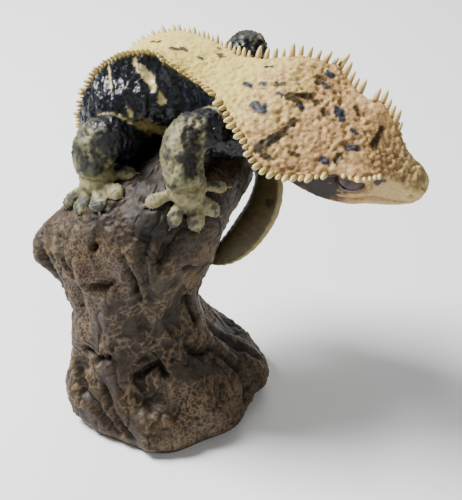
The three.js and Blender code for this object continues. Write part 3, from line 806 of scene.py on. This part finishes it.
def buildSkin(wood, material):
    source, faces, sourceValues, claws = gatherForms(wood)
    mesh = fuse(source, faces)
    ends = readAll(mesh.edges, "vertices", 2, int)
    points = openEyes(relax(readPoints(mesh), ends, skin["smoothing"]))
    writePoints(mesh, points)
    print("skin fused,", len(points), "points")
    # which form each point is on, and where
    kind, along, across = placeOnForms(points, source, sourceValues)
    body = relax(kind == kinds["body"], ends, 6)
    toe = relax(kind == kinds["toe"], ends, 4)
    along = relax(along, ends, 2)
    side = np.abs(across)
    onHead = body * ramp(*skin["headEnd"], along)
    onTail = body * ramp(*skin["tailStart"], along)
    trunk = body * (1 - onHead) * (1 - onTail)
    back = relax(ramp(*skin["crestEdge"], side), ends, 2) * body
    limb = 1 - body
    flank = trunk * (1 - back)
    # relief
    ragged = roughness3d(points, skin["raggedSize"])
    broad = roughness3d(points + 60, skin["broadSize"])
    pebble = cells(points + 0.25 * ragged[:, None], skin["headBumpSize"])
    dome = 1 - ramp(0.05, 0.62, pebble[:, 0])
    bead = 1 - ramp(0.05, 0.6, cells(points, skin["beadSize"])[:, 0])
    folds = np.sin(points @ [2.0, -0.6, 0.5] + 2.4 * broad + 1.2 * ragged)
    rumple = roughness3d(points * [1.6, 1.2, 0.7] + 20, skin["foldSize"])
    crumple = 1 - 2 * np.abs(roughness3d(points + 500, skin["wrinkleSize"]))
    push = onHead * back * (skin["headBump"] * (0.5 * dome + 1.05 * crumple - 0.8) + 0.1 * broad)
    push += onHead * (1 - back) * 0.12 * (bead - 0.4)
    push += trunk * back * skin["backBump"] * (0.5 * bead + 0.8 * crumple - 0.6)
    push += flank * (skin["flankFold"] * (0.5 * folds + rumple - 0.2) + 0.16 * (bead - 0.4))
    push += onTail * 0.1 * (bead - 0.4) + onTail * 0.04 * np.sin(along * 22)
    push += limb * (0.32 * rumple + skin["legWrinkle"] * crumple) * (1 - 0.8 * toe)
    push += limb * skin["legBump"] * (bead - 0.4)
    push += toe * ramp(0.35, 0.5, along) * 0.06 * np.sin(along * 60)  # the pads' cross folds
    jaw = onHead * ramp(5.9, 5.3, along)
    mouth = jaw * bell(side - skin["mouthLine"] - 0.1 * np.sin(along * 1.4), 0.11)
    push -= skin["mouthDepth"] * relax(mouth, ends, 1)
    ear = bell(nearest(points, faceSpots(*skin["ear"])), skin["earRadius"])
    nostril = bell(nearest(points, faceSpots(*skin["nostril"])), skin["nostrilRadius"])
    push -= skin["earDepth"] * ear + skin["nostrilDepth"] * nostril
    nearEye = nearest(points, [eyeCentre(1), eyeCentre(-1)])
    push *= 1 - 0.8 * bell(nearEye - skin["eyeRadius"], 1.0)
    points = points + readAll(mesh.vertex_normals, "vector", 3) * push[:, None]
    writePoints(mesh, points)
    # paint
    marked = {name: markMask(points, strokes, ragged) for name, strokes in marks.items()}
    stripe = onHead * ramp(2.02, 2.15, side) * ramp(4.5, 3.9, side + 0.7 * ragged + 0.4 * broad)
    stripe *= ramp(4.9, 5.4, along + 0.5 * ragged) * (1 - 0.5 * ramp(0.3, 0.5, ragged))
    jawMottle = onHead * ramp(3.0, 3.4, side) * ramp(4.5, 5.4, along)
    jawMottle *= ramp(-0.15, 0.15, ragged + 0.5 * broad)
    belly = ramp(4.9, 5.8, side + 0.5 * ragged)
    lowFlank = flank * ramp(66.5, 62.5, points[:, 2] + 2.2 * ragged)
    dark = flank * (1 - belly) * (1 - 0.4 * lowFlank)
    upperLeg = relax(kind == kinds["leg"], ends, 4) * ramp(0.42, 0.28, along + 0.12 * ragged)
    foot = relax(kind >= kinds["toe"], ends, 5)
    shoulder = flank * ramp(13.2, 11.4, along)
    pad = toe * ramp(1.0, 0.5, np.abs(across) + 0.5 * ragged) * ramp(0.3, 0.5, along)
    blotch = ramp(0.05, 0.3, broad + 0.6 * ragged)
    # tan fades toward the neck, and thins at the snout's tip as painted light
    warmth = (0.55 + 0.45 * ramp(9.4, 7.5, along)) * (0.6 + 0.4 * ramp(1.4, 3.4, along))
    paleSkin = np.clip(ramp(0.05, -0.25, broad - 0.4 * ragged) + 0.9 * foot, 0, 1)
    tailMark = 0.66 * ramp(1.5, 1.9, side + 0.3 * ragged) + 0.34 * ramp(3.0, 3.8, side + 0.3 * ragged)
    tailMark = np.maximum(tailMark, 0.8 * ramp(0.32, 0.5, broad + 0.5 * ragged))
    # painted light: the snout outside the dark stripe is paled, as if lit
    snout = onHead * ramp(4.2, 2.8, along) * (1 - stripe)
    # painted shade between the head's bumps
    crevice = onHead * back * ramp(0.35, 0.62, pebble[:, 0]) * (0.5 + 0.5 * ramp(-0.4, 0.3, broad))
    values = {
        "tan": onHead * warmth,
        "limb": limb * (1 - 0.3 * foot),
        "toe": pad * ramp(-0.15, 0.2, broad + ragged),
        "limbDark": limb * blotch * (1 - 0.75 * foot),
        "limbPale": limb * paleSkin * (1 - upperLeg),
        "flank": np.clip(flank * (1 - 0.4 * belly) + 0.8 * upperLeg * limb, 0, 1),
        "navy": np.clip(dark + upperLeg * limb, 0, 1),
        "shoulder": shoulder * (1 - belly) * ramp(-0.2, 0.5, ragged + 0.3),
        "mottle": lowFlank * ramp(-0.1, 0.35, ragged + 0.4 * broad),
        "tail": onTail * tailMark,
        "cheek": np.clip(stripe + 0.7 * jawMottle, 0, 1),
        "slate": marked["slate"] * (1 - limb),
        "olive": marked["olive"],
        "black": marked["black"],
        # pale marks on the trunk, with painted light on the snout
        "pale": np.clip(marked["pale"] * trunk + 0.4 * snout, 0, 1),
        # painted shade in the crevices, the mouth line, the ear and the nostril
        "recessShade": np.clip(crevice + mouth + ear + nostril, 0, 1),
        # painted shade: a dark ring on the skin where the lid meets the eye
        "lid": onHead * bell(nearEye - skin["eyeRadius"] - 0.1, 0.4),
    }
    storeValues(mesh, values)
    return makePiece("gecko_skin", mesh, material), claws


# Spines and claws: one tree sets a tapered, curved tooth on each point of a mesh
tooth = {
    "belly": 0.16,  # swelling at half height
    "hook": 0.3,  # how far the tip bends over, in radii
    "tip": 0.62,  # radius at the tip, as a share of the root's
    "vary": 0.26,  # share by which the teeth differ in size
    "sides": 7,
    "segments": 6,
    "seed": 7,
}
toothSums = [
    # result, operation, values: X, Y and Z are the place on a cone of radius 1 and height 1
    ("arc", "MULTIPLY", "Z", math.pi),
    ("wave", "SINE", "arc"),
    ("bulge", "MULTIPLY_ADD", "wave", "belly", 1.0),
    ("square", "MULTIPLY", "Z", "Z"),
    ("cube", "MULTIPLY", "square", "Z"),
    ("sixth", "MULTIPLY", "cube", "cube"),
    ("left", "MULTIPLY_ADD", "sixth", -0.9, 1.0),
    ("blunt", "SQRT", "left"),
    ("swell", "MULTIPLY", "bulge", "blunt"),
    ("lean", "MULTIPLY", "square", "hook"),
    ("wideX", "MULTIPLY_ADD", "X", "swell", "lean"),
    ("wideY", "MULTIPLY", "Y", "swell"),
    ("low", "SUBTRACT", 1.0, "vary"),
    ("high", "ADD", 1.0, "vary"),
]
spineRows = [
    # side, from, to, pitch, height, radius, lean, how far it points up
    (-1, 3.9, 5.75, 1.4, 1.6, 0.56, 0.1, 0.75),
    (-1, 6.3, 10.6, 1.5, 1.6, 0.58, 0.2, 0.3),
    (-1, 10.75, 18.6, 1.02, 1.2, 0.42, 0.4, 0.5),
    (1, 3.9, 5.75, 1.6, 2.1, 0.58, 0.1, 0.8),
    (1, 6.3, 10.6, 1.75, 2.2, 0.56, 0.1, 1.1),
    (1, 10.75, 18.6, 1.15, 1.4, 0.42, 0.4, 0.8),
]
spineRoot = 0.45  # how far a spine starts under the skin
claw = {"radius": 0.24, "length": 1.15, "root": 0.35}


def toothTree():
    tree = bpy.data.node_groups.new("teethOnPoints", "GeometryNodeTree")
    add = partial(addNode, tree)
    sockets = {name: "Int" if isinstance(value, int) else "Float" for name, value in tooth.items()}
    for name, kind in {"Geometry": "Geometry", **sockets, "Material": "Material"}.items():
        tree.interface.new_socket(name, in_out="INPUT", socket_type="NodeSocket" + kind)
    tree.interface.new_socket("Geometry", in_out="OUTPUT", socket_type="NodeSocketGeometry")
    source = add("NodeGroupInput")
    coneLinks = {
        "Vertices": source["sides"],
        "Side Segments": source["segments"],
        "Radius Top": source["tip"],
        "Radius Bottom": 1.0,
        "Depth": 1.0,
    }
    cone = add("GeometryNodeMeshCone", coneLinks)["Mesh"]
    place = add("SeparateXYZ", [add("GeometryNodeInputPosition")[0]])
    known = {name: source[name] for name in tooth} | {name: place[name] for name in "XYZ"}
    for name, operation, *values in toothSums:
        inputs = [known.get(value, value) for value in values]
        known[name] = add("Math", inputs, operation=operation)[0]
    shaped = add("CombineXYZ", [known["wideX"], known["wideY"], known["Z"]])[0]
    curved = add("GeometryNodeSetPosition", {"Geometry": cone, "Position": shaped})[0]
    riseLinks = {"Geometry": curved, "Name": "rise", "Value": known["Z"]}
    risen = add("GeometryNodeStoreNamedAttribute", riseLinks, data_type="FLOAT", domain="POINT")[0]
    way, size = (
        add("GeometryNodeInputNamedAttribute", {"Name": name}, data_type="FLOAT_VECTOR")[0]
        for name in ("way", "size")
    )
    turn = add("FunctionNodeAlignRotationToVector", {"Vector": way}, axis="Z")[0]
    drawLinks = {2: known["low"], 3: known["high"], "Seed": source["seed"]}
    draw = add("FunctionNodeRandomValue", drawLinks, data_type="FLOAT")[1]
    grow = add("VectorMath", {0: size, "Scale": draw}, operation="SCALE")[0]
    toothLinks = {"Points": source["Geometry"], "Instance": risen, "Rotation": turn, "Scale": grow}
    real = add("GeometryNodeRealizeInstances", [add("GeometryNodeInstanceOnPoints", toothLinks)[0]])[0]
    coat = {"Geometry": real, "Material": source["Material"]}
    add("NodeGroupOutput", [add("GeometryNodeSetMaterial", coat)[0]])
    return tree


def growTeeth(name, tree, rows, material):
    roots, ways, sizes = (np.array(column) for column in zip(*rows))
    mesh = makeMesh(name + "_points", roots, [])
    for label, column in (("way", ways), ("size", sizes * mm)):
        mesh.attributes.new(label, "FLOAT_VECTOR", "POINT").data.foreach_set("vector", column.ravel())
    carrier = addObject(name + "_points", mesh)
    modifier = carrier.modifiers.new("teeth", "NODES")
    modifier.node_group = tree
    settings = {**tooth, "Material": material}
    for item in tree.interface.items_tree:
        if item.in_out == "INPUT" and item.name in settings:
            modifier[item.identifier] = settings[item.name]
    grown = takeMesh(carrier)
    grown.name = name
    return makePiece(name, grown, material)


def spineTeeth():
    rows = []
    for side, first, last, pitch, height, radius, lean, lift in spineRows:
        walk = np.linspace(first, last, 400)
        crest = np.array([2.0 * side])  # where bodyPoints sets the crest
        edge = bodyPoints(walk, crest)[:, 0]
        run = np.concatenate([[0], np.cumsum(span(np.diff(edge, axis=0)))])
        places = np.interp(np.arange(0, run[-1], pitch), run, walk)
        _, forward, up, left, _ = bodyFrames(places)
        way = unit(left * side * 0.85 + up * lift - forward * lean)
        fade = 1 - 0.45 * ramp(16, 18.6, places)
        roots = bodyPoints(places, crest)[:, 0] - way * spineRoot
        sizes = [(radius, radius, (height + spineRoot) * share) for share in fade]
        rows += zip(roots, way, sizes)
    return rows


# Eyes: gloss lacquer over a painted iris with an upright slit
eye = {
    "rings": 44,
    "segments": 64,
    "slit": 0.13,  # these three are shares of the eye's radius
    "slitHeight": 0.66,
    "irisEdge": 0.66,
    "rays": 34,
}


def buildEye(name, node, side, material):
    outward, along, rise = eyeAxes(side)
    tilt = np.linspace(0.04, math.pi - 0.04, eye["rings"])[:, None]
    turns = fullTurn(eye["segments"])
    u, v, w = np.sin(tilt) * np.cos(turns), np.sin(tilt) * np.sin(turns), np.cos(tilt) + 0 * turns
    ball = u[..., None] * along + v[..., None] * rise + w[..., None] * outward
    mesh = makeMesh(name, *loft(eyeCentre(side) + skin["eyeRadius"] * ball))
    faceOutwards(mesh)
    u, v = np.append(u, [0, 0]), np.append(v, [0, 0])
    wavy = 1 + 0.16 * np.sin(v * 26)
    slit = eye["slit"] * wavy * np.clip(1 - (v / eye["slitHeight"]) ** 2, 0, 1)
    angle = np.arctan2(v, u)
    values = {
        "slit": ramp(slit + 0.03, slit - 0.03, np.abs(u)) * (slit > 0.005),
        "rim": ramp(eye["irisEdge"] - 0.08, eye["irisEdge"] + 0.04, np.hypot(u, v)),
        "ray": 0.5 + 0.5 * np.sin(angle * eye["rays"] + 3 * np.sin(angle * 5)),
    }
    storeValues(mesh, values)
    piece = makePiece(name, mesh, material)
    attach(piece, "root")
    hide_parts(node)


# Materials: clouds are noise, in rows of size across in millimetres, octaves and roughness
def perMetre(size):
    return 1000 / size  # repeats of a pattern in a metre


def newMaterial(paint):
    material = bpy.data.materials.new(paint["name"])
    material.use_nodes = True
    material.node_tree.nodes.clear()
    add = partial(addNode, material.node_tree)
    place = add("TexCoord")["Object"]
    clouds = []
    for size, detail, roughness in paint["clouds"]:
        links = {"Vector": place, "Scale": perMetre(size), "Detail": detail, "Roughness": roughness}
        clouds.append(add("TexNoise", links)[0])
    values = [add("Attribute", attribute_name=name)["Fac"] for name in paint.get("values", ())]
    return material, add, place, clouds, values


def finishMaterial(add, paint, layers, roughness, height=None):
    colour = toLinear(paint["base"])
    for factor, tint in layers:
        mixLinks = {0: factor, 6: colour, 7: toLinear(tint)}
        colour = add("Mix", mixLinks, data_type="RGBA")[2]
    surface = {"Base Color": colour, "Roughness": roughness, "Specular IOR Level": paint["shine"]}
    if height is not None:
        bumpLinks = {"Height": height, "Strength": paint["bump"], "Distance": paint["bumpDepth"] * mm}
        surface["Normal"] = add("Bump", bumpLinks)[0]
    add("OutputMaterial", [add("BsdfPrincipled", surface)[0]])


skinPaint = {
    # airbrushed acrylic under satin varnish: soft broad highlights on the cream, wet sparks on the flank
    "name": "acrylic over resin, satin varnish",
    "base": "#bda452",
    "cream": "#e6d474",
    "layers": [
        # value on the mesh, colour, strength
        ("tan", "#c48d6e", 0.6),
        ("limb", "#55573f", 0.97),
        ("limbPale", "#88815f", 0.8),
        ("limbDark", "#14181d", 0.88),
        ("toe", "#2e3336", 0.9),
        ("flank", "#25292a", 1.0),
        ("navy", "#070a12", 1.0),
        ("shoulder", "#0d1420", 0.5),
        ("mottle", "#6f6a4c", 0.7),
        ("tail", "#221b14", 0.95),
        # pale marks, and painted light on the snout
        ("pale", "#d6c388", 0.95),
        ("cheek", "#080b13", 1.0),
        # painted shade in the crevices, mouth line, ear and nostril
        ("recessShade", "#6b4526", 0.7),
        ("slate", "#1c2533", 1.0),
        ("olive", "#342603", 1.0),
        ("black", "#0c0a08", 0.95),
        # painted shade round the eye
        ("lid", "#33221a", 0.75),
    ],
    # painted shade in the grooves between the scales
    "grooveShade": "#3f3018",
    "clouds": [(3.85, 5.0, 0.6), (0.67, 3.0, 0.5)],
    "scaleSize": 0.55,  # between two scales
    "satin": 0.52,
    "gloss": 0.28,
    "shine": 0.38,
    "bump": 0.35,
    "bumpDepth": 0.12,
}


def skinMaterial():
    material, add, place, (cloud, fine), _ = newMaterial(skinPaint)
    scaleLinks = {"Vector": place, "Scale": perMetre(skinPaint["scaleSize"])}
    scale = add("TexVoronoi", scaleLinks)["Distance"]
    uneven = add("MapRange", [cloud, 0.35, 0.65, 0.96, 1.0])[0]  # thinner paint here and there
    layers = [(cloud, skinPaint["cream"])]
    for name, tint, strength in skinPaint["layers"]:
        value = add("Attribute", attribute_name=name)["Fac"]
        for share in (uneven, strength):
            value = add("Math", [value, share], operation="MULTIPLY")[0]
        layers.append((value, tint))
    navy = add("Attribute", attribute_name="navy")["Fac"]
    bare = add("Math", [1.0, navy], operation="SUBTRACT")[0]
    # painted shade: darker towards the sunken edge of each scale, except on the navy
    grooveShade = add("MapRange", [scale, 0.25, 0.75, 0.0, 0.22])[0]
    grooveShade = add("Math", [grooveShade, bare], operation="MULTIPLY")[0]
    layers.append((grooveShade, skinPaint["grooveShade"]))
    sheen = add("MapRange", [navy, 0.0, 1.0, skinPaint["satin"], skinPaint["gloss"]])[0]
    rough = add("Math", [fine, 0.12, sheen], operation="MULTIPLY_ADD")[0]
    sunk = add("Math", [scale, -1.0], operation="MULTIPLY")[0]
    height = add("Math", [fine, 0.5, sunk], operation="MULTIPLY_ADD")[0]
    finishMaterial(add, skinPaint, layers, rough, height)
    return material


spinePaint = {
    # dry-brushed acrylic: brown left in the roots, pale dusty tips with a dull highlight
    "name": "acrylic over resin, dry-brushed spines",
    "base": "#a88a52",
    "tip": "#e2cf88",
    "dirt": "#7a5a34",
    "values": ["rise"],
    "clouds": [(1.11, 3.0, 0.5)],
    "roughness": 0.5,
    "shine": 0.5,
    "bump": 0.3,
    "bumpDepth": 0.08,
}


def spineMaterial():
    material, add, _, (cloud,), (rise,) = newMaterial(spinePaint)
    dirt = add("MapRange", [cloud, 0.4, 0.7, 0.0, 0.35])[0]
    layers = [(rise, spinePaint["tip"]), (dirt, spinePaint["dirt"])]
    finishMaterial(add, spinePaint, layers, spinePaint["roughness"], cloud)
    return material


clawPaint = {
    # painted horn: dark, smooth, with a small sharp highlight
    "name": "acrylic over resin, horn claws",
    "base": "#3f3324",
    "over": "#8d7c56",
    "clouds": [(0.83, 2.0, 0.5)],
    "roughness": 0.35,
    "shine": 0.5,
}
floorPaint = {
    # eggshell white paint: an even, pale ground that takes a soft shadow
    "name": "pale painted board",
    "base": "#eceeee",
    "over": "#f3f4f3",
    "clouds": [(111.0, 3.0, 0.5)],
    "roughness": 0.55,
    "shine": 0.5,
}


def plainMaterial(paint):
    material, add, _, (cloud,), _ = newMaterial(paint)
    finishMaterial(add, paint, [(cloud, paint["over"])], paint["roughness"])
    return material


woodPaint = {
    # matt acrylic, dry-brushed over the raised lines: painted shade in the hollows, dusty tan ridges,
    # almost no highlight
    "name": "matt acrylic over cast driftwood",
    "base": "#19120b",
    "brown": "#35281b",
    "red": "#4b2a20",
    "dust": "#4f3e2c",
    "line": "#7b684e",
    # painted shade in the furrows, creases and on the top under the gecko
    "hollow": "#0d0907",
    "values": ["net", "worn", "dark"],
    "clouds": [(7.7, 6.0, 0.65), (0.625, 4.0, 0.7), (22.0, 3.0, 0.5)],
    "warpSize": 1.92,
    "warpReach": 2.6,
    "webSize": 1.28,  # across one cell of the finest lines
    "smooth": 0.42,
    "rough": 0.66,
    "shine": 0.25,
    "bump": 0.5,
    "bumpDepth": 0.15,
}


def woodMaterial():
    material, add, place, (cloud, fine, patch), (net, worn, dark) = newMaterial(woodPaint)
    warpLinks = {"Vector": place, "Scale": perMetre(woodPaint["warpSize"]), "Detail": 2.0}
    warp = add("TexNoise", warpLinks)["Color"]
    bentLinks = [warp, [woodPaint["warpReach"] * mm] * 3, place]
    bent = add("VectorMath", bentLinks, operation="MULTIPLY_ADD")[0]
    webLinks = {"Vector": bent, "Scale": perMetre(woodPaint["webSize"])}
    web = add("TexVoronoi", webLinks, feature="DISTANCE_TO_EDGE")[0]
    thread = add("MapRange", [web, 0.02, 0.12, 0.7, 0.0])[0]
    where = add("MapRange", [patch, 0.44, 0.6, 0.05, 1.0])[0]
    thread = add("Math", [thread, where], operation="MULTIPLY")[0]
    line = add("Math", [net, 0.7], operation="MULTIPLY")[0]
    line = add("Math", [line, thread], operation="MAXIMUM")[0]
    dust = add("Math", [worn, fine], operation="MULTIPLY")[0]
    factors = {
        "brown": cloud,
        "red": add("MapRange", [patch, 0.5, 0.72, 0.0, 0.5])[0],
        "dust": add("Math", [dust, 0.5], operation="MULTIPLY")[0],
        "line": line,
        # painted shade, laid on by the wood's dark value
        "hollow": add("Math", [dark, 0.8], operation="MULTIPLY")[0],
    }
    layers = [(factor, woodPaint[name]) for name, factor in factors.items()]
    rough = add("MapRange", [fine, 0.3, 0.7, woodPaint["smooth"], woodPaint["rough"]])[0]
    finishMaterial(add, woodPaint, layers, rough, fine)
    return material


eyePaint = {
    # gloss lacquer over paint: a wet eye with a clear bright window in it
    "name": "gloss lacquer over a painted iris",
    "base": "#21130f",
    "vein": "#7d4a37",
    "rim": "#1d1412",
    "slit": "#0b0808",
    "values": ["ray", "rim", "slit"],
    "clouds": [(0.91, 4.0, 0.5)],
    "roughness": 0.16,
    "shine": 0.4,
}


def eyeMaterial():
    material, add, _, (cloud,), (ray, rim, slit) = newMaterial(eyePaint)
    vein = add("Math", [ray, cloud], operation="MULTIPLY")[0]
    layers = [(vein, eyePaint["vein"]), (rim, eyePaint["rim"]), (slit, eyePaint["slit"])]
    finishMaterial(add, eyePaint, layers, eyePaint["roughness"])
    return material


# Build
wood, woodSurface = buildStump(woodMaterial())
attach(wood, "root")
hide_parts("stump")
print("stump built,", len(wood.data.polygons), "faces")

fleshNodes = ["head", "neck", "torso", "hips", "tail_1", "tail_2", "tail_3", "tail_4", "tail_5"]
fleshNodes += ["leg_front_right", "leg_front_left", "leg_back_right", "leg_back_left"]
gecko, claws = buildSkin(woodSurface, skinMaterial())
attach(gecko, "root")
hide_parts(*fleshNodes)
print("skin built,", len(gecko.data.polygons), "faces")

teeth = toothTree()
spines = growTeeth("crest_spines", teeth, spineTeeth(), spineMaterial())
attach(spines, "root")
clawSize = (claw["radius"], claw["radius"], claw["length"])
clawTeeth = [(tip - way * claw["root"], way, clawSize) for tip, way in claws]
clawPiece = growTeeth("claws", teeth, clawTeeth, plainMaterial(clawPaint))
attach(clawPiece, "root")
print("spines and claws grown")

lacquer = eyeMaterial()
buildEye("lacquered_eye_left", "eye_left", 1, lacquer)
buildEye("lacquered_eye_right", "eye_right", -1, lacquer)
print("eyes set")

# Floor, light and camera
floorReach = 800  # millimetres from the middle to each edge
floorDrop = 0.1  # clear of the stump's foot
corners = [(x * floorReach, y * floorReach, -floorDrop) for x, y in ((-1, -1), (1, -1), (1, 1), (-1, 1))]
floor = makePiece("floor", makeMesh("floor", corners, [(0, 1, 2, 3)]), plainMaterial(floorPaint))

lamps = {
    # place in metres, size, power in watts
    "key": ((-0.3, 0.08, 0.46), 0.2, 9.0),
    "fill": ((0.3, -0.45, 0.35), 0.5, 0.9),
    "back": ((0.1, 0.5, 0.4), 0.4, 1.2),
}
aim = Vector((0.005, 0.005, 0.045))
for name, (place, size, power) in lamps.items():
    light = bpy.data.lights.new(name, "AREA")
    light.size = size
    light.energy = power
    lamp = addObject(name, light)
    lamp.location = place
    lamp.rotation_euler = (aim - Vector(place)).to_track_quat("-Z", "Y").to_euler()

world = bpy.data.worlds.new("room")
world.use_nodes = True
room = world.node_tree.nodes["Background"]
room.inputs["Color"].default_value = toLinear("#e8ebf0")
room.inputs["Strength"].default_value = 0.2
bpy.context.scene.world = world

# the camera that was fitted to the photo: focal length and frame height in pixels, tilt in degrees
view = {"focal": 1150, "frame": 500, "tilt": 53.5, "place": (0.0148, -0.1947, 0.185)}
lens = bpy.data.cameras.new("camera")
lens.sensor_fit = "VERTICAL"
lens.sensor_height = 36
lens.lens = view["focal"] / view["frame"] * lens.sensor_height
lens.clip_start = 0.01
camera = addObject("camera", lens)
camera.location = view["place"]
camera.rotation_euler = (math.radians(view["tilt"]), 0, 0)
bpy.context.scene.camera = camera
print("stage set")
